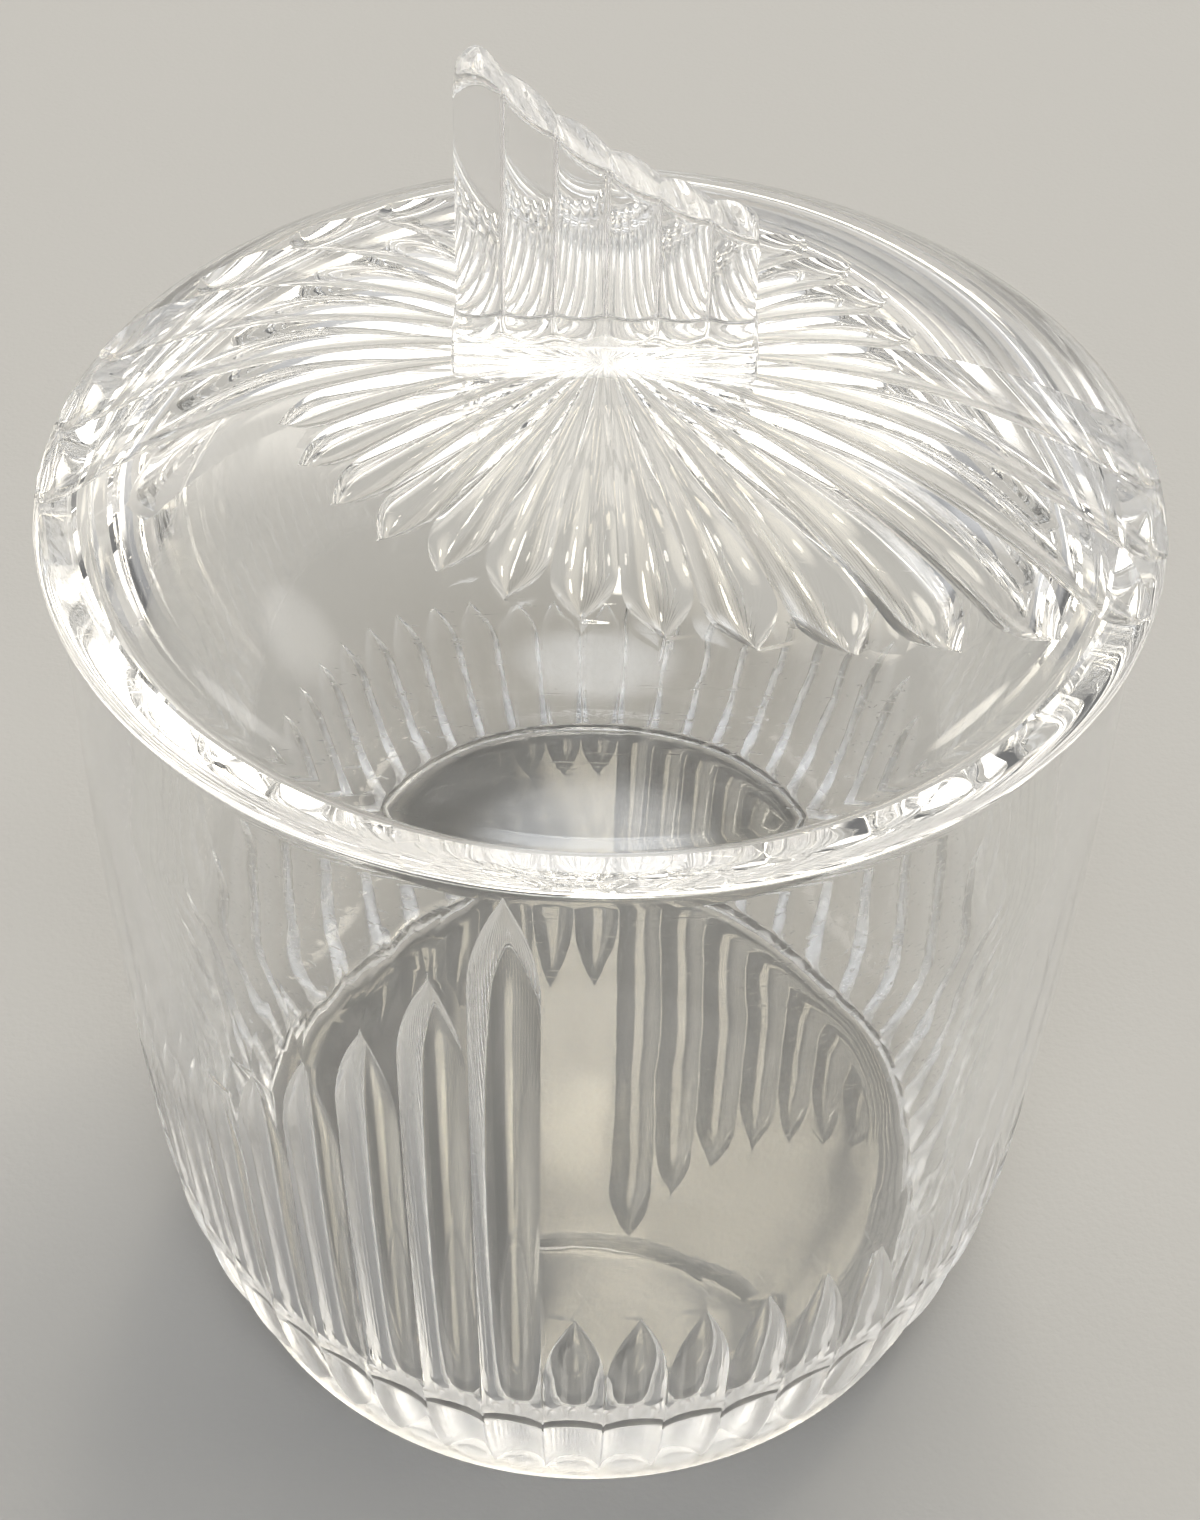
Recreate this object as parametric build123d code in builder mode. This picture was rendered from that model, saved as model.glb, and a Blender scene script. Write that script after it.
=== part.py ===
from build123d import *
import os
from math import atan, cos, degrees, hypot, pi, radians, sin, sqrt, tan

# A pressed-crystal biscuit jar: a round fluted jar with a thick base, a lift-off
# domed lid with a sunburst of scooped petals, and a ribbed fin bonded on as its knob.
# Millimetres. Z is up, the jar stands on z = 0 with its axis on Z, and the viewer's
# side is -Y. The fin's long side runs along X, tall end towards -X.

# ---------------------------------------------------------------- jar dimensions
jar_height = 143.0            # table to the lip
mouth_radius = 72.4           # outside, at the lip
lip_wall = 5.6
heel_height = 32.0            # where the side turns into the heel
heel_inset = 4.4              # how far inside the mouth's outline it has come by then
side_bulge = 1.6              # how far the side stands outside a straight line
foot_inset = 8.4              # from the heel's start in to the plain ring under the jar
foot_height = 5.2
foot_step = 0.9               # how far the ridges start outside the foot ring
foot_edge_radius = 1.5
lip_edge_radius = 1.6

floor_height = 16.0           # inside floor above the table
bore_depth = 30.0             # straight stretch of the inside wall below the lip
bore_taper = 6.8              # how far the inside comes in from there to the floor
floor_corner_radius = 14.0
foot_ring_width = 12.8        # around the hollow in the underside
recess_depth = 1.8

# ------------------------------------------------------------- jar flute dimensions
flute_count = 48
flute_groups = 2              # the flutes climb twice round the jar
flute_depth = 1.6
flute_overlap = 1.013         # flutes are this much wider than their share of the mouth
flute_run_out_radius = 80.0   # curve on which a flute leaves the side at its top
flute_run_out_angle = 22.0
flute_overrun = 3.0           # how far below the top of the foot a flute is cut
lowest_flute = 56.0           # top of the shortest flute above the table
flute_margin = 2.0            # plain glass between the tallest flute and the lip
flute_climb = 4.8             # power of the climb from the shortest to the tallest
tallest_flute_angle = -8.15   # from the viewer's side, positive towards +X

# ---------------------------------------------------------------- lid dimensions
rim_overhang = 2.6            # how far the lid stands out over the jar
rim_thickness = 6.0
shoulder_angle = 36.0         # slope of the dome where it meets the rim
dome_power = 2.7              # the higher, the flatter the crown and the later the bend
lid_thickness = 5.0           # at the crown
lid_underside_power = 4.0     # the underside bends later, so the lid thickens to its rim
locating_ring_clearance = 0.7
locating_ring_width = 2.4
locating_ring_depth = 3.5
ring_edge_radius = 0.8

# ------------------------------------------------------------ lid petal dimensions
petal_count = 30
petal_groups = 2
first_petal_angle = -74.5     # shortest petal, from the viewer's side towards +X
shortest_petal = 42.5         # tip radius
petal_growth = 3.0            # power of the growth from the shortest to the rim
petals_to_rim = 12            # the petal that just reaches the rim
petal_overrun = 3.0           # the longest petal would close this far past the rim
petal_tip_length = 8.5        # the stretch over which a petal closes to its tip
petal_tip_width = 0.4         # the scoop's width at its tip, against its full width
petal_root_radius = 5.0
petal_depth_slope = 0.034     # depth gained for each millimetre out from the centre
petal_overlap = 1.06          # scoops are this much wider than their share

# ---------------------------------------------------------------- fin dimensions
fin_width = 37.6
fin_rib_count = 6
fin_rib_radius = 4.1
fin_end_cut = 1.1             # what the flat ends take off a whole number of rib pitches
fin_tall_end = 46.6           # above its seat, before the tip is rounded
fin_low_end = 20.5
fin_sag = 3.3                 # how far the top sinks below a straight line
fin_tip_radius = 2.2
fin_low_end_radius = 1.5
plinth_end_ledge = 0.7        # how far the plinth stands out past the fin's ends
plinth_side_ledge = 1.1       # and past its ribs
plinth_height = 5.2
plinth_corner_radius = 1.4
seat_depth = 1.2              # the plinth stands in a shallow seat in the crown
seat_clearance = 0.1

# ---------------------------------------------------------------- shared geometry
dome_steps = 6                # spans of the curve drawn along the dome
bore_radius = mouth_radius - lip_wall
floor_radius = bore_radius - bore_taper
heel_radius = mouth_radius - heel_inset
foot_radius = heel_radius - foot_inset
flute_foot_radius = foot_radius + foot_step
recess_radius = foot_radius - foot_ring_width
highest_flute = jar_height - flute_margin
rim_radius = mouth_radius + rim_overhang
rim_edge_radius = rim_thickness / 2
rim_centre_radius = rim_radius - rim_edge_radius
rim_centre_height = jar_height + rim_edge_radius
dome_radius = rim_centre_radius + rim_edge_radius * sin(radians(shoulder_angle))
dome_base = rim_centre_height + rim_edge_radius * cos(radians(shoulder_angle))
dome_rise = dome_radius * tan(radians(shoulder_angle)) / dome_power
crown_height = dome_base + dome_rise
seat_height = crown_height - seat_depth
plinth_width = fin_width + 2 * plinth_end_ledge
plinth_depth = 2 * (fin_rib_radius + plinth_side_ledge)


def dome_height(radius):
    """Top of the dome, flat at the crown and steep at the rim."""
    return dome_base + dome_rise * (1 - (radius / dome_radius) ** dome_power)


def dome_points(inner, outer):
    """Evenly spaced points of the dome's outline between two radii."""
    radii = [inner + (outer - inner) * step / dome_steps for step in range(dome_steps + 1)]
    return [(radius, dome_height(radius)) for radius in radii]


def viewer_angle(angle):
    """An angle from the viewer's side (-Y) towards +X, as one from +X towards +Y."""
    return angle - 90


# --------------------------------------------------------------------- jar outline
# The side is one long arc and the heel a tighter one, tangent to it.
side_height = jar_height - heel_height
side_lean = atan((mouth_radius - heel_radius) / side_height)
side_chord = hypot(mouth_radius - heel_radius, side_height)
side_half_angle = 2 * atan(2 * side_bulge / side_chord)
side_arc_radius = side_chord / (2 * sin(side_half_angle))
heel_slope = side_lean + side_half_angle
side_centre_x = heel_radius - side_arc_radius * cos(heel_slope)
side_centre_z = heel_height + side_arc_radius * sin(heel_slope)

heel_x = heel_radius - flute_foot_radius
heel_z = heel_height - foot_height
heel_offset = heel_x * cos(heel_slope) - heel_z * sin(heel_slope)
heel_arc_radius = (heel_x**2 + heel_z**2) / (2 * heel_offset)
heel_centre_x = heel_radius - heel_arc_radius * cos(heel_slope)
heel_centre_z = heel_height + heel_arc_radius * sin(heel_slope)


def side_point(height, outset=0.0):
    """A point of the side arc, moved outwards by outset along its own arc's radius."""
    radius = side_arc_radius + outset
    return (side_centre_x + sqrt(radius**2 - (height - side_centre_z) ** 2), height)


def heel_point(height, outset=0.0):
    """A point of the heel arc, moved outwards by outset."""
    radius = heel_arc_radius + outset
    return (heel_centre_x + sqrt(radius**2 - (height - heel_centre_z) ** 2), height)


flute_width = flute_overlap * 2 * pi * mouth_radius / flute_count
flute_cutter_radius = (flute_width**2 / 4 + flute_depth**2) / (2 * flute_depth)


def flute_cutter(top):
    """A round bar that follows the side from under the foot and leaves it at the top."""
    outset = flute_cutter_radius - flute_depth
    run_out = sqrt(2 * (flute_run_out_radius + flute_cutter_radius) * flute_depth)
    leave = top - run_out
    start = heel_point(foot_height - flute_overrun, outset)
    low_middle = heel_point((foot_height + heel_height) / 2, outset)
    turn_height = heel_centre_z - (heel_arc_radius + outset) * sin(heel_slope)
    turn = heel_point(turn_height, outset)
    side_middle = side_point((turn_height + leave) / 2, outset)
    with BuildPart() as cutter:
        with BuildLine(Plane.XZ) as path:
            ThreePointArc(start, low_middle, turn)
            side = ThreePointArc(turn, side_middle, side_point(leave, outset))
            JernArc(side @ 1, side % 1, flute_run_out_radius, -flute_run_out_angle)
        with BuildSketch(Plane(origin=path.line @ 0, z_dir=path.line % 0)):
            Circle(flute_cutter_radius)
        sweep()
    return cutter.part


recess_sphere_radius = (recess_radius**2 + recess_depth**2) / (2 * recess_depth)
flutes_in_group = flute_count // flute_groups
flute_pitch = 360 / flute_count

with BuildPart() as jar:
    with BuildSketch(Plane.XZ) as fluted_outline:
        with BuildLine():
            Line((0, foot_height), (flute_foot_radius, foot_height))
            ThreePointArc(
                (flute_foot_radius, foot_height),
                heel_point((foot_height + heel_height) / 2),
                (heel_radius, heel_height),
            )
            ThreePointArc(
                (heel_radius, heel_height),
                side_point((heel_height + jar_height) / 2),
                (mouth_radius, jar_height),
            )
            Line((mouth_radius, jar_height), (0, jar_height))
            Line((0, jar_height), (0, foot_height))
        make_face()
    revolve(axis=Axis.Z)
    for step in range(flutes_in_group):
        climb = (step / (flutes_in_group - 1)) ** flute_climb
        flute_top = lowest_flute + (highest_flute - lowest_flute) * climb
        angle = tallest_flute_angle - (flutes_in_group - 1 - step) * flute_pitch
        with PolarLocations(0, flute_groups, start_angle=viewer_angle(angle)):
            add(flute_cutter(flute_top), mode=Mode.SUBTRACT)
    with BuildSketch(Plane.XZ) as foot_outline:
        with BuildLine():
            Polyline(
                (0, 0),
                (foot_radius, 0),
                (foot_radius, foot_height),
                (0, foot_height),
                close=True,
            )
        make_face()
        foot_corner = foot_outline.vertices().group_by(Axis.X)[-1].sort_by(Axis.Y)[0]
        fillet(foot_corner, foot_edge_radius)
    revolve(axis=Axis.Z)
    with BuildSketch(Plane.XZ) as hollow_outline:
        with BuildLine():
            Polyline(
                (0, floor_height),
                (floor_radius, floor_height),
                (bore_radius, jar_height - bore_depth),
                (bore_radius, jar_height),
                (0, jar_height),
                close=True,
            )
        make_face()
        floor_corner = hollow_outline.vertices().group_by(Axis.Y)[0].sort_by(Axis.X)[-1]
        fillet(floor_corner, floor_corner_radius)
    revolve(axis=Axis.Z, mode=Mode.SUBTRACT)
    with Locations((0, 0, recess_depth - recess_sphere_radius)):
        Sphere(recess_sphere_radius, mode=Mode.SUBTRACT)
    lip_edges = jar.edges().filter_by(GeomType.CIRCLE).group_by(Axis.Z)[-1]
    fillet(lip_edges, lip_edge_radius)


# ---------------------------------------------------------------------------- lid
petal_pitch = 360 / petal_count
petals_in_group = petal_count // petal_groups
petal_spread = petal_overlap * tan(radians(petal_pitch / 2))


def petal_cutter(tip_radius):
    """A round tapered scoop from under the fin's plinth out to a pointed tip."""
    shoulder = tip_radius - petal_tip_length
    run_out_radius = petal_tip_length**2 / (2 * shoulder * petal_depth_slope)
    with BuildLine(Plane.XZ) as body_path:
        body = Spline(dome_points(petal_root_radius, shoulder))
    with BuildLine(Plane.XZ) as tip_path:
        tip = JernArc(body @ 1, body % 1, run_out_radius, degrees(petal_tip_length / run_out_radius))
    stretches = (
        (body_path, ((body @ 0, body % 0, petal_root_radius, 1), (body @ 1, body % 1, shoulder, 1))),
        (tip_path, ((tip @ 0, tip % 0, shoulder, 1), (tip @ 1, tip % 1, shoulder, petal_tip_width))),
    )
    with BuildPart() as cutter:
        for path, sections in stretches:
            for point, direction, radius, narrowing in sections:
                half_width = radius * petal_spread
                depth = radius * petal_depth_slope
                scoop_radius = narrowing * (half_width**2 + depth**2) / (2 * depth)
                with BuildSketch(Plane(origin=point, x_dir=(0, 1, 0), z_dir=direction)):
                    with Locations((0, scoop_radius - depth)):
                        Circle(scoop_radius)
                        Rectangle(
                            2 * scoop_radius,
                            scoop_radius,
                            align=(Align.CENTER, Align.MAX),
                            mode=Mode.INTERSECT,
                        )
            sweep(path=path.line, multisection=True)
    return cutter.part


ring_outer_radius = bore_radius - locating_ring_clearance
ring_inner_radius = ring_outer_radius - locating_ring_width
ring_bottom = jar_height - locating_ring_depth
underside_rise = crown_height - lid_thickness - ring_bottom


def underside_point(share):
    """A point of the lid's underside, share of the way from the axis out to the ring."""
    return (share * ring_inner_radius, ring_bottom + underside_rise * (1 - share**lid_underside_power))


with BuildPart() as lid:
    with BuildSketch(Plane.XZ) as lid_outline:
        under_points = [underside_point(step / dome_steps) for step in range(dome_steps + 1)]
        shoulder_slope = radians(shoulder_angle)
        with BuildLine():
            top = Spline(
                dome_points(0, dome_radius),
                tangents=((1, 0), (cos(shoulder_slope), -sin(shoulder_slope))),
            )
            ThreePointArc(
                top @ 1,
                (rim_radius, rim_centre_height),
                (rim_centre_radius, jar_height),
            )
            Polyline(
                (rim_centre_radius, jar_height),
                (ring_outer_radius, jar_height),
                (ring_outer_radius, ring_bottom),
                (ring_inner_radius, ring_bottom),
            )
            Spline(under_points)
            Line(under_points[0], top @ 0)
        make_face()
        fillet(lid_outline.vertices().group_by(Axis.Y)[0], ring_edge_radius)
    revolve(axis=Axis.Z)
    for step in range(petals_in_group):
        growth = (step / petals_to_rim) ** petal_growth
        tip_radius = shortest_petal + (rim_radius - shortest_petal) * growth
        tip_radius = min(tip_radius, rim_radius + petal_overrun)
        angle = first_petal_angle + step * petal_pitch
        with PolarLocations(0, petal_groups, start_angle=viewer_angle(angle)):
            add(petal_cutter(tip_radius), mode=Mode.SUBTRACT)
    with BuildSketch(Plane.XY.offset(seat_height)):
        RectangleRounded(
            plinth_width + 2 * seat_clearance,
            plinth_depth + 2 * seat_clearance,
            plinth_corner_radius + seat_clearance,
        )
    extrude(amount=lid_thickness, mode=Mode.SUBTRACT)

# ---------------------------------------------------------------------------- fin
fin_half_width = fin_width / 2
fin_rib_pitch = (fin_width + fin_end_cut) / fin_rib_count

with BuildPart() as fin:
    with BuildSketch(Plane.XY.offset(seat_height)):
        with GridLocations(fin_rib_pitch, 0, fin_rib_count, 1):
            Circle(fin_rib_radius)
    extrude(amount=fin_tall_end)
    with BuildSketch(Plane.XZ) as side_view:
        low_top = (fin_half_width, seat_height + fin_low_end)
        tall_top = (-fin_half_width, seat_height + fin_tall_end)
        with BuildLine():
            SagittaArc(tall_top, low_top, -fin_sag)
            Polyline(
                low_top,
                (fin_half_width, seat_height),
                (-fin_half_width, seat_height),
                tall_top,
            )
        make_face()
        fillet(side_view.vertices().sort_by(Axis.Y)[-1], fin_tip_radius)
        low_corner = side_view.vertices().group_by(Axis.X)[-1].sort_by(Axis.Y)[-1]
        fillet(low_corner, fin_low_end_radius)
    extrude(amount=plinth_depth, both=True, mode=Mode.INTERSECT)
    with BuildSketch(Plane.XY.offset(seat_height)):
        RectangleRounded(plinth_width, plinth_depth, plinth_corner_radius)
    extrude(amount=plinth_height)

# ------------------------------------------------------------------------- export
os.makedirs("parts", exist_ok=True)
jar.part.label = "jar"
lid.part.label = "lid"
fin.part.label = "lid_fin"
export_step(jar.part, "parts/jar.step")
export_step(lid.part, "parts/lid.step")
export_step(fin.part, "parts/lid_fin.step")
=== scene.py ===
from math import atan, cos, hypot, radians, sin, sqrt, tan

import bmesh
import bpy
import numpy as np
from mathutils import Matrix, Vector


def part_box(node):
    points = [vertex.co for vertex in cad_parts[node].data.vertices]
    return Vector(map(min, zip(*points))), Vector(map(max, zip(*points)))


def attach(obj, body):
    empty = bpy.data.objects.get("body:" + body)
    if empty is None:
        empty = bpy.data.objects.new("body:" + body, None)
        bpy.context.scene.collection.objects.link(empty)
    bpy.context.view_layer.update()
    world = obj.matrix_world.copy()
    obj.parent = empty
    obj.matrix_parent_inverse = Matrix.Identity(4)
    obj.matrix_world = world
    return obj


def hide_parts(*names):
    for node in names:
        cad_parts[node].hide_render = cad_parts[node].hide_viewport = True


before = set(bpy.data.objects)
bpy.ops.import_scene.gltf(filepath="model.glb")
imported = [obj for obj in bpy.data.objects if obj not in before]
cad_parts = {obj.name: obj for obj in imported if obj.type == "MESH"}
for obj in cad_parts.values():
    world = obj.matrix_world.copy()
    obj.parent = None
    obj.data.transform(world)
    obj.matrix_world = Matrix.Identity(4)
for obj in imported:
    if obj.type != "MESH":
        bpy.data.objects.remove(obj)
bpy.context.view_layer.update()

# A pressed-crystal biscuit jar: a fluted jar, a domed lid with a sunburst of petals and a
# ribbed fin for a knob. The lengths below are millimetres; meshes are made in metres.
# Angles round the axis are degrees, counted from the viewer's side (-Y) towards +X.
# Counts named RINGS are rings of vertices, and POLE radii are the first ring round a pole.
MM = 0.001
SHARP_ANGLE = 26             # edges of the jar and the lid sharper than this stay crisp

_, jar_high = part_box("jar")
lid_low, lid_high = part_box("lid")
fin_low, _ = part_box("lid_fin")

# ------------------------------------------------------------------------------ jar
JAR_HEIGHT = jar_high.z / MM
LIP_GAP = 0.05               # air between the lip and the rim that lies on it
MOUTH_RADIUS = 72.4
BORE_RADIUS = 66.8
BORE_DEPTH = 30.0            # how far down the inside is straight
LIP_ROUND = 1.6
HEEL_RADIUS = 68.0
HEEL_HEIGHT = 32.0
SIDE_BULGE = 1.6             # of the side's arc beyond its chord
FOOT_RADIUS = 59.6
FOOT_HEIGHT = 5.2
FOOT_STEP = 0.9
FOOT_ROUND = 1.5
FLOOR_HEIGHT = 16.0
FLOOR_RADIUS = 60.0
FLOOR_ROUND = 14.0
BORE_BEND = 1.6              # power by which the inside leaves its straight stretch
RECESS_RADIUS = 46.8
RECESS_DEPTH = 1.8
FLOOR_POLE = 3.0
FLOOR_RINGS = 10
FLOOR_ROUND_RINGS = 18
WALL_RINGS = 40
LIP_RINGS = 6
FOOT_RINGS = 6

FLUTES = 48
FLUTES_IN_CLIMB = 24
FLUTE_DEPTH = 1.6
LOWEST_FLUTE = 56.0
HIGHEST_FLUTE = 141.0
FLUTE_CLIMB = 4.8            # power by which the flutes' tops climb round the jar
FIRST_FLUTE_ANGLE = -0.65    # the shortest flute, next to the tallest
FLUTE_TIP_LENGTH = 17.0
FLUTE_TIP_POWER = 2.0
FLUTE_END_POWER = 0.6
FLUTE_RING_STEP = 1.0
FLUTE_COLUMNS = 12           # columns of vertices across a flute, its ridge among them
SCOOP_LAND = 0.03            # share of a flute's or petal's pitch that the ridge takes up

# ------------------------------------------------------------------------------ lid
RIM_RADIUS = lid_high.x / MM
RIM_THICKNESS = 6.0
SHOULDER_ANGLE = 36.0
DOME_POWER = 2.7
LID_THICKNESS = 5.0
UNDERSIDE_POWER = 4.0
RING_CLEARANCE = 0.7
RING_WIDTH = 2.4
RING_BOTTOM = lid_low.z / MM
RING_ROUND = 0.8

PETALS = 30
PETALS_IN_GROUP = 15
FIRST_PETAL_ANGLE = -74.5
SHORTEST_PETAL = 42.5
PETAL_GROWTH = 3.0           # power by which the petals grow round the lid
PETALS_TO_RIM = 12           # petals from the shortest to the first that meets the rim
PETAL_OVERRUN = 1.5
PETAL_TIP_LENGTH = 7.2
PETAL_TIP_POWER = 2.3
PETAL_END_POWER = 0.33
PETAL_DEPTH_SLOPE = 0.038    # depth of a petal for each millimetre from the axis
PETAL_COLUMNS = 18
CROWN_POLE = 1.5
CROWN_RINGS = 32
DOME_RINGS = 96
NOSE_RINGS = 16
RING_ROUND_RINGS = 5
UNDERSIDE_POLE = 2.0
UNDERSIDE_RINGS = 56

# ------------------------------------------------------------------------------ fin
FIN_WIDTH = 37.6
FIN_RIBS = 6
FIN_RIB_PITCH = 6.45
FIN_RIB_RADIUS = 4.1
FIN_SEAT = fin_low.z / MM
FIN_TALL_END = 46.6          # above the seat, before the tip is rounded
FIN_LOW_END = 20.5
FIN_SAG = 3.3
FIN_TIP_ROUND = 2.2
FIN_LOW_ROUND = 1.5
FIN_GROOVE_BLEND = 1.1       # how softly neighbouring ribs run together
FIN_GROOVE_POINTS = (0.12, 0.28, 0.5)      # extra points beside each groove's middle
FIN_TOP_BULGE = 0.15         # of the top edge on each rib
FIN_TOP_CROWN = 0.2          # of the top across its width
FIN_EDGE_ROUND = 0.8         # of the top's two long edges
FIN_TIP_EDGE_ROUND = 1.5     # more of it at the tall tip, over the last FIN_TIP_REACH
FIN_TIP_REACH = 8.0
FIN_TIP_BLEND = 7.0
FIN_FOOT_ROUND = 0.4         # between the plinth's top and the ribs
FIN_SHARP_ANGLE = 28
PLINTH_WIDTH = 39.0
PLINTH_DEPTH = 10.4
PLINTH_HEIGHT = 5.2
PLINTH_CORNER = 1.4
PLINTH_ROUND = 0.6

# --------------------------------------------------------------------------- studio
TABLE_REACH = 3000.0
TABLE_GAP = 0.1              # under the foot
CAMERA_PLACE = 0.71, -314.84, 395.4
CAMERA_TILT = 46.4           # degrees up from straight down
CAMERA_ROLL = 1.45


# ============================================================================ meshes
def skin(name, blocks):
    """One closed mesh from blocks of rings, each an array (ring, column, xyz) in millimetres.

    Rings of one block are joined by quads. Where a block's rings have more columns than the
    next block's, the strip between them is a fan of triangles to every few columns, and a
    block of a single column is a pole. The whole is turned outwards by its signed volume:
    the sum over triangles of a . (b x c) / 6, which is negative for a mesh inside out.
    """
    points, triangles, start = [], [], 0
    last_count, last_start = None, None
    for block in blocks:
        rings, count = block.shape[:2]
        column = np.arange(count)
        onward = (column + 1) % count
        if last_count is not None:
            triangles.append(strip(last_start, last_count, start, count))
        for ring in range(rings - 1):
            a = start + ring * count
            b = a + count
            triangles.append(np.stack([a + column, a + onward, b + onward], 1))
            triangles.append(np.stack([a + column, b + onward, b + column], 1))
        points.append(block.reshape(-1, 3))
        last_count, last_start = count, start + (rings - 1) * count
        start += rings * count
    points = np.concatenate(points) * MM
    triangles = np.concatenate(triangles)
    a, b, c = (points[triangles[:, k]] for k in range(3))
    if np.einsum("ij,ij->i", a, np.cross(b, c)).sum() < 0:
        triangles = triangles[:, ::-1]
    mesh = bpy.data.meshes.new(name)
    mesh.from_pydata(points.tolist(), [], triangles.tolist())
    mesh.update()
    piece = bpy.data.objects.new(name, mesh)
    bpy.context.collection.objects.link(piece)
    return piece


def strip(start_a, count_a, start_b, count_b):
    """Triangles between two rings whose column counts divide each other, or 1 for a pole."""
    if count_a < count_b:
        return strip(start_b, count_b, start_a, count_a)[:, ::-1]
    fine = np.arange(count_a)
    onward = (fine + 1) % count_a
    share = count_a // count_b
    coarse = (fine + share // 2) // share % count_b
    coarse_onward = (fine + 1 + share // 2) // share % count_b
    fans = np.stack([start_a + fine, start_a + onward, start_b + coarse], 1)
    turned = coarse != coarse_onward
    gaps = np.stack([start_a + onward, start_b + coarse_onward, start_b + coarse], 1)[turned]
    return np.concatenate([fans, gaps])


def finish_glass(piece, material, sharp_angle):
    """Smooth shading except along edges sharper than sharp_angle, in degrees."""
    mesh = piece.data
    tidy = bmesh.new()
    tidy.from_mesh(mesh)
    bmesh.ops.remove_doubles(tidy, verts=tidy.verts, dist=1e-7)
    tidy.to_mesh(mesh)
    tidy.free()
    mesh.polygons.foreach_set("use_smooth", np.ones(len(mesh.polygons), bool))
    mesh.set_sharp_from_angle(angle=radians(sharp_angle))
    mesh.materials.append(material)
    mesh.update()


def turned(radii, heights, angles):
    """Rings of a lathe shape: every (radius, height) taken round the axis at every angle."""
    r, z = np.asarray(radii, float)[:, None], np.asarray(heights, float)[:, None]
    a = np.radians(angles)[None, :]
    return np.stack([r * np.sin(a), -r * np.cos(a), z + 0 * a], 2)


def round_corner(centre, radius, start, end, steps):
    """Points of an arc in the outline plane, angles in degrees from straight out to up."""
    a = np.radians(np.linspace(start, end, steps))
    return centre[0] + radius * np.cos(a), centre[1] + radius * np.sin(a)


def scooped(outline, depth_scale, centres, ends, columns, tip_length, tip_power, end_power):
    """Rings of a lathe shape with scoops along its outline, one column group for each scoop.

    outline is (radius, height, place along the outline); ends is each scoop's end place.
    With c running 0 to 1 over the last tip_length of a scoop, its width shrinks by
    w = 1 - c ** tip_power, which is a pointed arch, and its depth by w ** end_power.
    Across a scoop, with u from -1 to 1, the surface sinks by depth * (1 - u * u) along the
    outline's normal. Columns follow the scoop's edges, so the arch is an edge of the mesh.
    With b running 0 to 1 over one more tip_length past the end, they spread out again on
    the plain surface to 0.02 + 0.8 * b ** 1.5 of the pitch.
    """
    radius, height, place = outline
    slope_r, slope_z = np.gradient(radius), np.gradient(height)
    length = np.hypot(slope_r, slope_z)
    normal_r, normal_z = slope_z / length, -slope_r / length
    half_pitch = 180 / len(centres)
    closing = np.clip((place[:, None] - (ends - tip_length)) / tip_length, 0, 1)
    width = 1 - closing**tip_power
    beyond = np.clip((place[:, None] - ends) / tip_length, 0, 1)
    spread = np.maximum(width, 0.02 + 0.8 * beyond**1.5)
    u = np.linspace(-1, 1, columns - 1)
    ridge = -np.ones((*width.shape, 1))
    share = np.concatenate([ridge, spread[..., None] * u * (1 - SCOOP_LAND)], 2)
    angles = centres[:, None] + half_pitch * share
    depth = depth_scale[:, None] * width**end_power
    sink = depth[..., None] * np.concatenate([[0], 1 - u**2])
    r = radius[:, None, None] - normal_r[:, None, None] * sink
    z = height[:, None, None] - normal_z[:, None, None] * sink
    a = np.radians(angles)
    rings = np.stack([r * np.sin(a), -r * np.cos(a), z], 3)
    return rings.reshape(len(radius), -1, 3)


# ------------------------------------------------------------------------------- jar
def side_radius(height):
    """Outer radius at a height: one long arc for the side and a tighter one for the heel.

    The side's arc bulges by h over a chord c, so half its angle is 2 * atan(2 * h / c). The
    heel's arc starts in the same direction and ends at the foot.
    """
    rise, run = JAR_HEIGHT - HEEL_HEIGHT, MOUTH_RADIUS - HEEL_RADIUS
    chord = hypot(rise, run)
    half_angle = 2 * atan(2 * SIDE_BULGE / chord)
    side_arc = chord / (2 * sin(half_angle))
    slope = atan(run / rise) + half_angle
    side_x = HEEL_RADIUS - side_arc * cos(slope)
    side_z = HEEL_HEIGHT + side_arc * sin(slope)
    heel_x = HEEL_RADIUS - FOOT_RADIUS - FOOT_STEP
    heel_z = HEEL_HEIGHT - FOOT_HEIGHT
    heel_arc = (heel_x**2 + heel_z**2) / (2 * (heel_x * cos(slope) - heel_z * sin(slope)))
    low_x = HEEL_RADIUS - heel_arc * cos(slope)
    low_z = HEEL_HEIGHT + heel_arc * sin(slope)
    side = side_x + np.sqrt(side_arc**2 - (height - side_z) ** 2)
    low = np.minimum(height, HEEL_HEIGHT)
    heel = low_x + np.sqrt(heel_arc**2 - (low - low_z) ** 2)
    return np.where(height > HEEL_HEIGHT, side, heel)


def bore_radius(height):
    """Inside radius at a height: straight below the lip, then in by taper * depth ** bend."""
    top = JAR_HEIGHT - BORE_DEPTH
    depth = np.clip((top - height) / (top - FLOOR_HEIGHT), 0, 1)
    return BORE_RADIUS - (BORE_RADIUS - FLOOR_RADIUS) * depth**BORE_BEND


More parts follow.
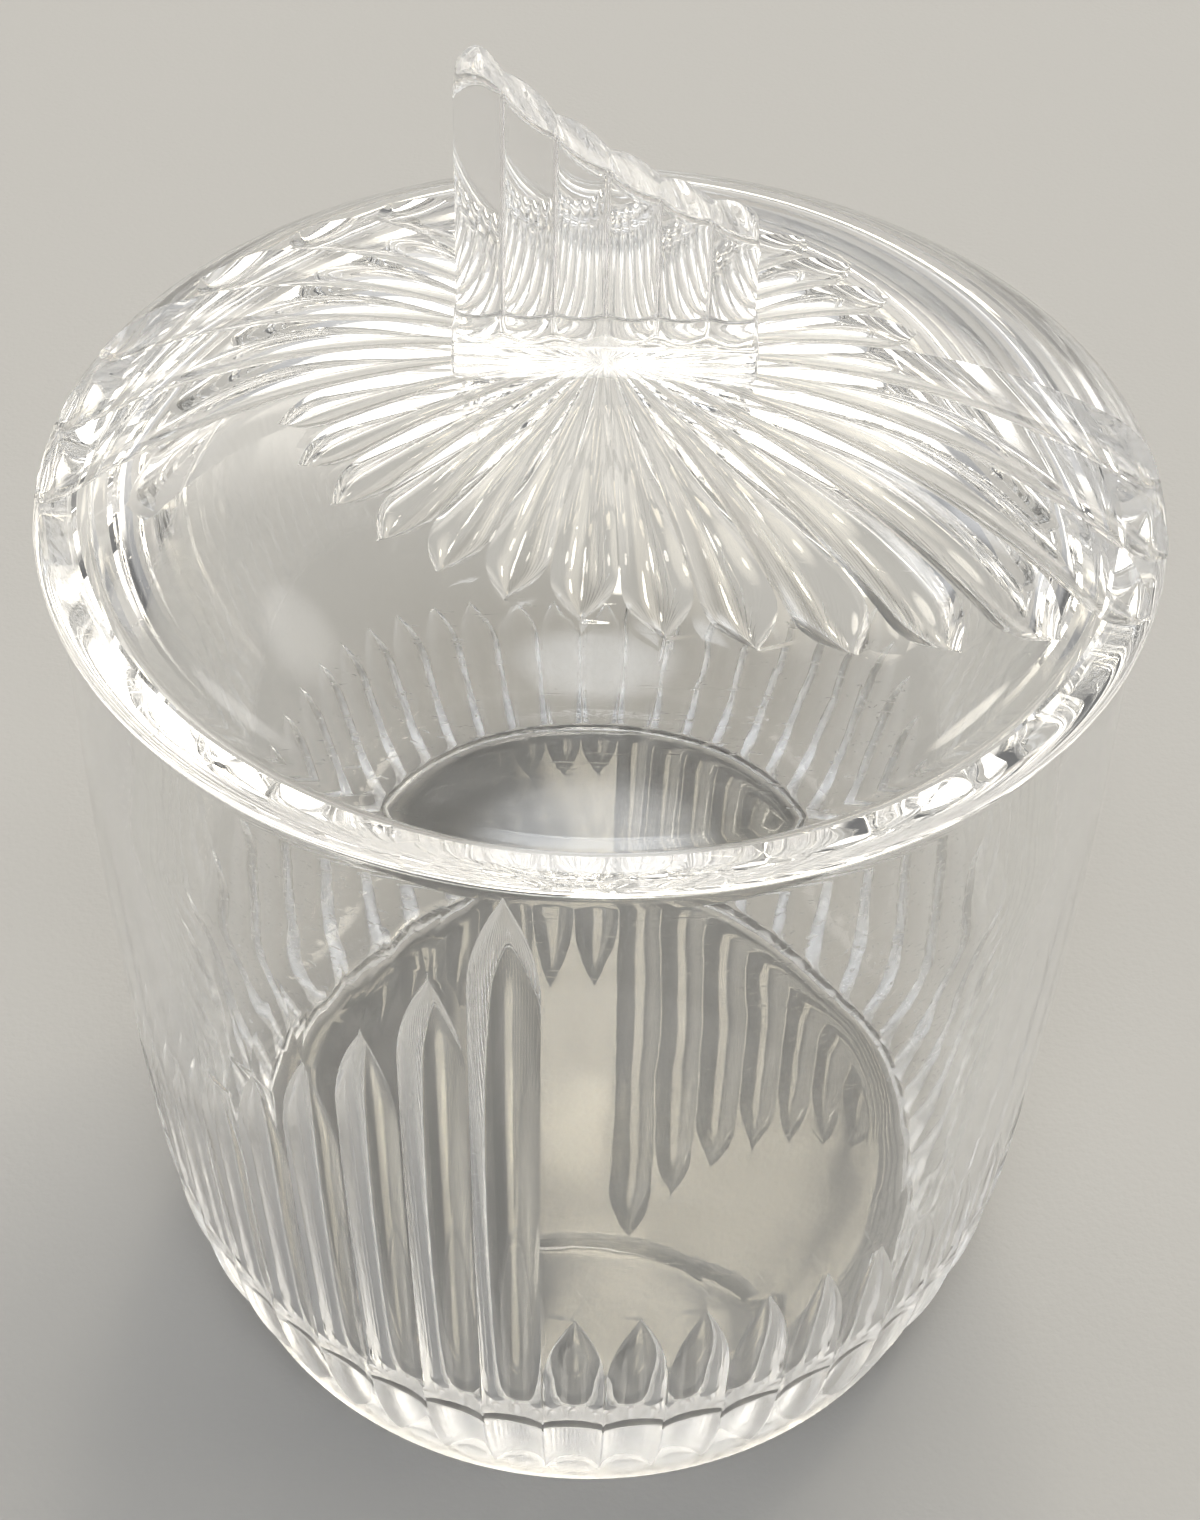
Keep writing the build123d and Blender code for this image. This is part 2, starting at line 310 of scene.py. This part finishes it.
def make_jar(glass):
    """The jar, from the middle of its floor over the lip, down the flutes and under the foot.

    Flute n of a climb, with s running 0 to 1 over the climb, ends at
    lowest + (highest - lowest) * s ** climb, and is as deep as its place is far from the axis.
    The hollow underneath is depth * (1 - (r / R) ** 2).
    """
    order = np.arange(FLUTES)
    centres = FIRST_FLUTE_ANGLE + order * 360 / FLUTES
    climb = (order % FLUTES_IN_CLIMB / (FLUTES_IN_CLIMB - 1)) ** FLUTE_CLIMB
    tops = LOWEST_FLUTE + (HIGHEST_FLUTE - LOWEST_FLUTE) * climb
    heights = np.arange(FOOT_HEIGHT, JAR_HEIGHT - LIP_ROUND, FLUTE_RING_STEP)
    radii = side_radius(heights)
    depths = FLUTE_DEPTH * radii / MOUTH_RADIUS
    fluted = scooped(
        (radii, heights, heights), depths, centres, tops, FLUTE_COLUMNS,
        FLUTE_TIP_LENGTH, FLUTE_TIP_POWER, FLUTE_END_POWER,
    )[::-1]
    plain_columns = FLUTES * FLUTE_COLUMNS // 4
    around = centres[0] - 180 / FLUTES + np.arange(plain_columns) * 360 / plain_columns

    # The corner between floor and wall ends where the wall leans as the corner does.
    round_top = FLOOR_HEIGHT + 0.9 * FLOOR_ROUND
    lean = atan(bore_radius(round_top + 0.5) - bore_radius(round_top - 0.5))
    round_top = FLOOR_HEIGHT + FLOOR_ROUND * (1 - sin(lean))
    centre = bore_radius(round_top) - FLOOR_ROUND * cos(lean), FLOOR_HEIGHT + FLOOR_ROUND
    floor_r, floor_z = round_corner(
        centre, FLOOR_ROUND, -90, -np.degrees(lean), FLOOR_ROUND_RINGS
    )
    flat_r = np.linspace(FLOOR_POLE, floor_r[0] - FLOOR_POLE, FLOOR_RINGS)
    wall_z = np.linspace(floor_z[-1] + 2.5, JAR_HEIGHT - LIP_ROUND - 3, WALL_RINGS)
    wall_r = bore_radius(wall_z)
    lip_z = JAR_HEIGHT - LIP_GAP - LIP_ROUND
    in_centre, out_centre = (BORE_RADIUS + LIP_ROUND, lip_z), (MOUTH_RADIUS - LIP_ROUND, lip_z)
    in_r, in_z = round_corner(in_centre, LIP_ROUND, 180, 90, LIP_RINGS)
    out_r, out_z = round_corner(out_centre, LIP_ROUND, 90, 20, LIP_RINGS - 1)
    inside = turned(
        np.concatenate([flat_r, floor_r, wall_r, in_r, out_r]),
        np.concatenate([0 * flat_r + FLOOR_HEIGHT, floor_z, wall_z, in_z, out_z]),
        around,
    )
    foot_centre = FOOT_RADIUS - FOOT_ROUND, FOOT_ROUND
    foot_r, foot_z = round_corner(foot_centre, FOOT_ROUND, 0, -90, FOOT_RINGS)
    dish_r = np.linspace(RECESS_RADIUS, FLOOR_POLE, FLOOR_RINGS)
    dish_z = RECESS_DEPTH * (1 - (dish_r / RECESS_RADIUS) ** 2)
    under = turned(
        np.concatenate([[FOOT_RADIUS], foot_r, dish_r]),
        np.concatenate([[FOOT_HEIGHT - 0.1], foot_z, dish_z]),
        around,
    )
    middle = np.array([[[0, 0, FLOOR_HEIGHT]]], float)
    dish_middle = np.array([[[0, 0, RECESS_DEPTH]]], float)
    jar = skin("jar_glass_body", [middle, inside, fluted, under, dish_middle])
    finish_glass(jar, glass, SHARP_ANGLE)
    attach(jar, "jar")
    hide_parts("jar")
    return jar


# ------------------------------------------------------------------------------- lid
RIM_ROUND = RIM_THICKNESS / 2
DOME_RADIUS = RIM_RADIUS - RIM_ROUND + RIM_ROUND * sin(radians(SHOULDER_ANGLE))
DOME_BASE = JAR_HEIGHT + RIM_ROUND + RIM_ROUND * cos(radians(SHOULDER_ANGLE))
DOME_RISE = DOME_RADIUS * tan(radians(SHOULDER_ANGLE)) / DOME_POWER
RING_OUTER = BORE_RADIUS - RING_CLEARANCE
RING_INNER = RING_OUTER - RING_WIDTH
UNDERSIDE_RISE = DOME_BASE + DOME_RISE - LID_THICKNESS - RING_BOTTOM


def dome_height(radius):
    """base + rise * (1 - (r / R) ** power): flat at the crown and steep at the rim."""
    return DOME_BASE + DOME_RISE * (1 - (np.asarray(radius) / DOME_RADIUS) ** DOME_POWER)


def underside_height(radius):
    """The same kind of curve with a higher power, down to the inside of the locating ring."""
    share = np.asarray(radius) / RING_INNER
    return RING_BOTTOM + UNDERSIDE_RISE * (1 - share**UNDERSIDE_POWER)


def make_lid(glass):
    """The lid, from the crown out over the petals, round the rim and back under the dome.

    Petal n of a group ends at shortest + (rim - shortest) * (n / petals to the rim) ** growth,
    and no farther than a little past the rim.
    """
    order = np.arange(PETALS)
    centres = FIRST_PETAL_ANGLE + order * 360 / PETALS
    growth = (order % PETALS_IN_GROUP / PETALS_TO_RIM) ** PETAL_GROWTH
    tips = SHORTEST_PETAL + (RIM_RADIUS - SHORTEST_PETAL) * growth
    tips = np.minimum(tips, RIM_RADIUS + PETAL_OVERRUN)
    first_tip = SHORTEST_PETAL - PETAL_TIP_LENGTH
    dome_r = np.concatenate([
        np.linspace(CROWN_POLE, first_tip, CROWN_RINGS, endpoint=False),
        np.linspace(first_tip, DOME_RADIUS, DOME_RINGS),
    ])
    nose_centre = RIM_RADIUS - RIM_ROUND, JAR_HEIGHT + RIM_ROUND
    nose_r, nose_z = round_corner(
        nose_centre, RIM_ROUND, 90 - SHOULDER_ANGLE, -90, NOSE_RINGS
    )
    radii = np.concatenate([dome_r, nose_r[1:]])
    heights = np.concatenate([dome_height(dome_r), nose_z[1:]])
    nose_step = RIM_ROUND * radians(180 - SHOULDER_ANGLE) / (NOSE_RINGS - 1)
    places = np.concatenate([dome_r, DOME_RADIUS + nose_step * np.arange(1, NOSE_RINGS)])
    depths = PETAL_DEPTH_SLOPE * np.minimum(places, RIM_RADIUS)
    petals = scooped(
        (radii[::-1], heights[::-1], places[::-1]), depths[::-1], centres, tips, PETAL_COLUMNS,
        PETAL_TIP_LENGTH, PETAL_TIP_POWER, PETAL_END_POWER,
    )[::-1]
    plain_columns = PETALS * PETAL_COLUMNS // 3
    around = centres[0] - 180 / PETALS + np.arange(plain_columns) * 360 / plain_columns

    slope = atan(UNDERSIDE_POWER * UNDERSIDE_RISE / RING_INNER)
    round_z = RING_BOTTOM + RING_ROUND
    out_centre = RING_OUTER - RING_ROUND, round_z
    in_centre = RING_INNER + RING_ROUND * tan(slope / 2), round_z
    out_r, out_z = round_corner(out_centre, RING_ROUND, 0, -90, RING_ROUND_RINGS)
    in_r, in_z = round_corner(
        in_centre, RING_ROUND, -90, -90 - np.degrees(slope), RING_ROUND_RINGS
    )
    under_r = np.linspace(RING_INNER - 0.9, UNDERSIDE_POLE, UNDERSIDE_RINGS)
    under = turned(
        np.concatenate([[RING_OUTER + 1, RING_OUTER], out_r, in_r, under_r]),
        np.concatenate([
            [JAR_HEIGHT, JAR_HEIGHT - 0.8], out_z, in_z, underside_height(under_r),
        ]),
        around,
    )
    crown = np.array([[[0, 0, dome_height(0)]]], float)
    under_middle = np.array([[[0, 0, underside_height(0)]]], float)
    lid = skin("lid_glass_body", [crown, petals, under, under_middle])
    finish_glass(lid, glass, SHARP_ANGLE)
    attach(lid, "lid")
    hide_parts("lid")
    return lid


# ------------------------------------------------------------------------------- fin
def fin_top(x):
    """Height of the fin's top at x: a hollow arc, rounded into both ends, bulging on each rib.

    With u from -1 to 1 across a rib, the bulge is top bulge * (1 - u * u).
    """
    half = FIN_WIDTH / 2
    drop = FIN_TALL_END - FIN_LOW_END
    half_chord = hypot(FIN_WIDTH, drop) / 2
    arc = (half_chord**2 + FIN_SAG**2) / (2 * FIN_SAG)
    tilt = atan(drop / FIN_WIDTH)
    middle_z = FIN_SEAT + (FIN_TALL_END + FIN_LOW_END) / 2
    arc_x = sin(tilt) * (arc - FIN_SAG)
    arc_z = middle_z + cos(tilt) * (arc - FIN_SAG)
    top = arc_z - np.sqrt(arc**2 - (x - arc_x) ** 2)
    for side, radius in ((-1, FIN_TIP_ROUND), (1, FIN_LOW_ROUND)):
        end_x = side * (half - radius)
        end_z = arc_z - sqrt((arc + radius) ** 2 - (end_x - arc_x) ** 2)
        touch = end_x + radius * (arc_x - end_x) / (arc + radius)
        rounded = end_z + np.sqrt(np.maximum(radius**2 - (x - end_x) ** 2, 0))
        top = np.where((x - touch) * side > 0, rounded, top)
    across = (x / FIN_RIB_PITCH + FIN_RIBS / 2) % 1 * 2 - 1
    inside = np.clip((half - np.abs(x)) / FIN_TIP_ROUND, 0, 1)
    return top + FIN_TOP_BULGE * (1 - across**2) * inside


def fin_outline():
    """The fin's outline in plan, once round: x and y of round ribs between two flat ends.

    Where two ribs meet, y is their smooth maximum near + max(k - (near - next), 0) ** 2 / 4k,
    which leaves a softly rounded groove.
    """
    half = FIN_WIDTH / 2
    swing = np.arcsin(FIN_RIB_PITCH / 2 / FIN_RIB_RADIUS)
    groove = FIN_RIB_PITCH / 2
    near_groove = groove - np.array(FIN_GROOVE_POINTS)
    rib = FIN_RIB_RADIUS * np.sin(np.linspace(-swing, swing, 15)[1:-1])
    rib = np.sort(np.concatenate([[-groove], rib, near_groove, -near_groove]))
    middles = (np.arange(FIN_RIBS) - (FIN_RIBS - 1) / 2) * FIN_RIB_PITCH
    ribs = (middles[:, None] + rib).ravel()
    turn = np.radians(np.linspace(0, 90, 12, endpoint=False))
    tall = -half + FIN_TIP_ROUND * (1 - np.cos(turn))
    low = half - FIN_LOW_ROUND * (1 - np.cos(turn))
    between = ribs[(ribs > tall[-1] + 0.15) & (ribs < low[-1] - 0.15)]
    x = np.concatenate([tall, between, low[::-1]])
    off = np.sort(np.abs(x[:, None] - middles), 1)
    near, next_one = np.sqrt(np.maximum(FIN_RIB_RADIUS**2 - off[:, :2] ** 2, 0)).T
    shared = np.maximum(FIN_GROOVE_BLEND - (near - next_one), 0)
    y = near + shared**2 / (4 * FIN_GROOVE_BLEND)
    end_y = np.linspace(-y[-1], y[-1], 9)[1:-1]
    end = np.full(len(end_y), half)
    outline_x = np.concatenate([x, end, x[::-1], -end])
    outline_y = np.concatenate([-y, end_y, y[::-1], -end_y])
    return outline_x, outline_y


def make_fin(glass):
    """The fin on its plinth, from the plinth's foot up to a slit along the top.

    The plinth's outline is the fin's, stretched to a rectangle with rounded corners. Round
    the top's edges a ring at angle t goes in by e * (1 - cos t) and up by e * sin t.
    """
    x, y = fin_outline()
    half = FIN_WIDTH / 2
    flat_end = np.abs(x) > half - 1e-6
    wide, deep = PLINTH_WIDTH / 2, PLINTH_DEPTH / 2
    end_y = np.abs(y[flat_end]).max()
    plinth_x = x * wide / half
    plinth_y = np.where(flat_end, y * deep / end_y, np.sign(y) * deep)
    past_x = np.maximum(np.abs(plinth_x) - (wide - PLINTH_CORNER), 0)
    past_y = np.maximum(np.abs(plinth_y) - (deep - PLINTH_CORNER), 0)
    in_corner = (past_x > 0) & (past_y > 0)
    reach = np.where(in_corner, np.hypot(past_x, past_y), 1)
    corner_x = np.sign(x) * (wide - PLINTH_CORNER + PLINTH_CORNER * past_x / reach)
    corner_y = np.sign(y) * (deep - PLINTH_CORNER + PLINTH_CORNER * past_y / reach)
    plinth_x = np.where(in_corner, corner_x, plinth_x)
    plinth_y = np.where(in_corner, corner_y, plinth_y)
    rings = [np.stack([plinth_x, 0 * y, 0 * x + FIN_SEAT], 1)]
    plinth_top = FIN_SEAT + PLINTH_HEIGHT
    for up in (0, 0.3, 0.6, 0.85, 1):
        z = 0 * x + FIN_SEAT + up * (PLINTH_HEIGHT - PLINTH_ROUND)
        rings.append(np.stack([plinth_x, plinth_y, z], 1))
    for turn in np.radians([22.5, 45, 67.5, 90]):
        inward = PLINTH_ROUND * (1 - cos(turn))
        z = 0 * x + plinth_top - PLINTH_ROUND + PLINTH_ROUND * sin(turn)
        rings.append(np.stack([
            plinth_x * (1 - inward / wide), plinth_y * (1 - inward / deep), z
        ], 1))
    near_tip = np.clip((FIN_TIP_REACH - half - x) / FIN_TIP_BLEND, 0, 1)
    edge = FIN_EDGE_ROUND + FIN_TIP_EDGE_ROUND * near_tip**2
    top = fin_top(x)
    low = plinth_top + FIN_FOOT_ROUND
    for up in np.concatenate([[0, 0.03], np.linspace(0.08, 1, 28)]):
        rings.append(np.stack([x, y, low + up * (top - edge - low)], 1))
    for turn in np.radians(np.linspace(15, 90, 6)):
        inset = np.minimum(edge * (1 - cos(turn)), np.abs(y))
        rings.append(np.stack([x, y - np.sign(y) * inset, top - edge + edge * sin(turn)], 1))
    last_y = rings[-1][:, 1]
    for across in (0.75, 0.5, 0.25, 0):
        crowned = top + FIN_TOP_CROWN * (1 - across**2)
        rings.append(np.stack([x, last_y * across, crowned], 1))
    fin = skin("fin_glass_body", [np.array(rings)])
    finish_glass(fin, glass, FIN_SHARP_ANGLE)
    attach(fin, "lid")
    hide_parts("lid_fin")
    return fin


# ========================================================================= materials
class Wire:
    """A value in a node tree. Arithmetic on wires and numbers adds the Math nodes for it."""

    def __init__(self, tree, socket):
        self.tree = tree
        self.socket = socket

    def maths(self, operation, *values):
        node = self.tree.nodes.new("ShaderNodeMath")
        node.operation = operation
        for socket, value in zip(node.inputs, values):
            if isinstance(value, Wire):
                self.tree.links.new(value.socket, socket)
            else:
                socket.default_value = value
        return Wire(self.tree, node.outputs[0])

    def __add__(self, other):
        return self.maths("ADD", self, other)

    def __radd__(self, other):
        return self.maths("ADD", other, self)

    def __sub__(self, other):
        return self.maths("SUBTRACT", self, other)

    def __rsub__(self, other):
        return self.maths("SUBTRACT", other, self)

    def __mul__(self, other):
        return self.maths("MULTIPLY", self, other)

    def __rmul__(self, other):
        return self.maths("MULTIPLY", other, self)

    def __pow__(self, other):
        return self.maths("POWER", self, other)


class Recipe:
    """The node tree of a material or the world, with one method that adds any node."""

    def __init__(self, owner):
        self.owner = owner
        owner.use_nodes = True
        self.tree = owner.node_tree
        self.tree.nodes.clear()

    def add(self, kind, inputs=None, output=0, stops=None, **settings):
        """A node of a kind, its settings and colour stops set first, then its inputs."""
        node = self.tree.nodes.new("ShaderNode" + kind)
        for setting, value in settings.items():
            setattr(node, setting, value)
        if stops:
            ramp = node.color_ramp.elements
            while len(ramp) < len(stops):
                ramp.new(0.5)
            for element, (place, shade) in zip(ramp, stops):
                element.position = place
                element.color = (shade, shade, shade, 1)
        for name, value in (inputs or {}).items():
            if isinstance(value, Wire):
                self.tree.links.new(value.socket, node.inputs[name])
            else:
                node.inputs[name].default_value = value
        return Wire(self.tree, node.outputs[output]) if node.outputs else None


def crystal(name, tint, waviness, scratches, worn_below=None):
    """Clear crystal: gently wavy, with fine scratches, tiny bubbles and a film of handling.

    waviness is the height of the waves in millimetres, scratches how clearly the hairs show,
    and below the height worn_below, in metres, the foot is rubbed dull.
    """
    recipe = Recipe(bpy.data.materials.new(name))
    place = recipe.add("TexCoord", output="Object")
    waves = recipe.add("TexNoise", {"Vector": place, "Scale": 55.0, "Detail": 1.0})
    ripples = recipe.add("TexNoise", {"Vector": place, "Scale": 210.0, "Detail": 1.0})
    long_way = recipe.add("Mapping", {
        "Vector": place, "Rotation": (0.4, 0.7, 0.3), "Scale": (40, 900, 900)
    })
    hairs = recipe.add("TexNoise", {"Vector": long_way, "Scale": 1.6, "Detail": 2.0})
    hair_lines = recipe.add("ValToRGB", {"Fac": hairs}, stops=[(0.66, 0.0), (0.72, 1.0)])
    specks = recipe.add("TexVoronoi", {"Vector": place, "Scale": 420.0})
    dots = recipe.add("ValToRGB", {"Fac": specks}, stops=[(0.03, 1.0), (0.06, 0.0)])
    film = recipe.add("TexNoise", {
        "Vector": place, "Scale": 16.0, "Detail": 4.0, "Roughness": 0.65
    })
    smudges = recipe.add("ValToRGB", {"Fac": film}, stops=[(0.52, 0.0), (0.72, 1.0)])
    rough = 0.004 + smudges * 0.012 + hair_lines * scratches * 0.05 + dots * 0.03
    if worn_below is not None:
        height = recipe.add("SeparateXYZ", {"Vector": place}, output="Z")
        low = recipe.add("MapRange", {"Value": height, "From Min": worn_below, "From Max": 0.0})
        rubbed = recipe.add("TexNoise", {"Vector": place, "Scale": 600.0, "Detail": 3.0})
        rough = rough + low * rubbed * 0.35
    relief = waves * waviness + ripples * (waviness * 0.12) - hair_lines * (scratches * 0.004)
    normal = recipe.add("Bump", {
        "Height": relief + dots * 0.004, "Strength": 1.0, "Distance": 0.001
    })
    shader = recipe.add("BsdfPrincipled", {
        "Base Color": (*tint, 1.0),
        "Roughness": rough,
        "Normal": normal,
        "IOR": 1.545,
        "Transmission Weight": 1.0,
    })
    recipe.add("OutputMaterial", {"Surface": shader})
    return recipe.owner


def table_top():
    """A plain pale matt table."""
    recipe = Recipe(bpy.data.materials.new("pale_table"))
    place = recipe.add("TexCoord", output="Object")
    grain = recipe.add("TexNoise", {"Vector": place, "Scale": 900.0, "Detail": 2.0})
    normal = recipe.add("Bump", {"Height": grain, "Strength": 0.15, "Distance": 0.0005})
    shader = recipe.add("BsdfPrincipled", {
        "Base Color": (0.52, 0.515, 0.505, 1.0),
        "Roughness": 0.75,
        "Normal": normal,
    })
    recipe.add("OutputMaterial", {"Surface": shader})
    return recipe.owner


# ============================================================================= studio
# Soft lights far off: the way to each, the angle from its middle at which it starts to fade
# and the angle at which it is gone, in degrees, its strength and its colour.
SOFT_LIGHTS = (
    ((0.05, 0.65, 0.76), 4.5, 8.0, 6.5, (1.0, 0.9, 0.7)),
    ((0.42, 0.36, 0.83), 2.0, 3.0, 24.0, (1.0, 0.93, 0.78)),
    ((0.34, 0.41, 0.85), 8.0, 18.0, 3.4, (1.0, 0.93, 0.78)),
    ((0.02, 0.34, 0.94), 2.0, 3.0, 20.0, (1.0, 0.95, 0.86)),
    ((-0.95, -0.2, 0.26), 4.0, 16.0, 2.4, (1.0, 0.98, 0.95)),
    ((0.93, -0.1, 0.34), 6.0, 12.0, 5.5, (1.0, 0.94, 0.82)),
    ((0.0, -0.5, 0.87), 6.0, 19.0, 4.8, (0.93, 0.96, 1.0)),
)
WALL_GLOW = 0.72
SIDE_WALL_GLOW = 0.3
CEILING_GLOW = 0.16
BACK_WALL_GLOW = 2.1
BACK_WALL_COLOUR = (1.0, 0.955, 0.87)


def make_table():
    """One square of table, just under the foot and large enough to fill the view."""
    mesh = bpy.data.meshes.new("table_top")
    square = [(-1, -1), (1, -1), (1, 1), (-1, 1)]
    reach, low = TABLE_REACH * MM, -TABLE_GAP * MM
    mesh.from_pydata([(x * reach, y * reach, low) for x, y in square], [], [(0, 1, 2, 3)])
    table = bpy.data.objects.new("table_top", mesh)
    bpy.context.collection.objects.link(table)
    mesh.materials.append(table_top())


def make_room():
    """The room as light from every direction: pale walls, a dim ceiling, a bright back wall.

    With z the share of a direction that points up and y the share away from the viewer, the
    walls are side + (front - side) * y * y and fade to the ceiling as z rises, the back wall
    is a band of z where y is large, and each soft light is a disc round its own direction
    with a smoothly fading edge.
    """
    world = bpy.data.worlds.new("room")
    bpy.context.scene.world = world
    recipe = Recipe(world)
    way = recipe.add("TexCoord", output="Generated")
    away = recipe.add("SeparateXYZ", {"Vector": way}, output="Y")
    up = recipe.add("SeparateXYZ", {"Vector": way}, output="Z")

    def fade(value, start, end):
        return recipe.add(
            "MapRange", {"Value": value, "From Min": start, "From Max": end},
            interpolation_type="SMOOTHSTEP",
        )

    wall = away * away * (WALL_GLOW - SIDE_WALL_GLOW) + SIDE_WALL_GLOW
    walls = CEILING_GLOW + (1 - fade(up, 0.15, 0.34)) * (wall - CEILING_GLOW)
    band = fade(away, 0.48, 0.66) * fade(up, 0.17, 0.27) * (1 - fade(up, 0.66, 0.78))
    plain = recipe.add("VectorMath", {0: (1.0, 1.0, 1.0), "Scale": walls}, operation="SCALE")
    back = recipe.add(
        "VectorMath", {0: BACK_WALL_COLOUR, "Scale": band * BACK_WALL_GLOW}, operation="SCALE"
    )
    light = recipe.add("VectorMath", {0: plain, 1: back}, operation="ADD")
    for direction, inner, outer, strength, colour in SOFT_LIGHTS:
        unit = tuple(Vector(direction).normalized())
        towards = recipe.add(
            "VectorMath", {0: way, 1: unit}, output="Value", operation="DOT_PRODUCT"
        )
        disc = fade(towards, cos(radians(outer)), cos(radians(inner))) * strength
        glow = recipe.add("VectorMath", {0: colour, "Scale": disc}, operation="SCALE")
        light = recipe.add("VectorMath", {0: light, 1: glow}, operation="ADD")
    shader = recipe.add("Background", {"Color": light, "Strength": 1.0})
    recipe.add("OutputWorld", {"Surface": shader})


def make_camera():
    """A long lens above the viewer's side, looking down at the jar."""
    data = bpy.data.cameras.new("camera")
    data.lens = 90.0
    data.sensor_fit = "HORIZONTAL"
    data.sensor_width = 36.0
    data.clip_end = 20.0
    camera = bpy.data.objects.new("camera", data)
    bpy.context.collection.objects.link(camera)
    tilt = Matrix.Rotation(radians(CAMERA_TILT), 4, "X")
    roll = Matrix.Rotation(radians(CAMERA_ROLL), 4, "Z")
    camera.matrix_world = Matrix.Translation(Vector(CAMERA_PLACE) * MM) @ tilt @ roll
    bpy.context.scene.camera = camera


jar_crystal = crystal("jar_crystal", (0.985, 0.987, 0.985), 0.03, 0.5, worn_below=0.003)
lid_crystal = crystal("lid_crystal", (0.985, 0.987, 0.985), 0.03, 1.0)
fin_crystal = crystal("fin_crystal", (0.985, 0.986, 0.99), 0.06, 0.6)

make_jar(jar_crystal)
make_lid(lid_crystal)
make_fin(fin_crystal)
make_table()
make_room()
make_camera()

scene = bpy.context.scene
scene.view_settings.view_transform = "Standard"

# Light that the thick rim traps goes round in it many times, and with fewer bounces the rim
# would come out black in patches.
BOUNCES = 128
scene.cycles.max_bounces = BOUNCES
scene.cycles.transmission_bounces = BOUNCES
scene.cycles.glossy_bounces = BOUNCES
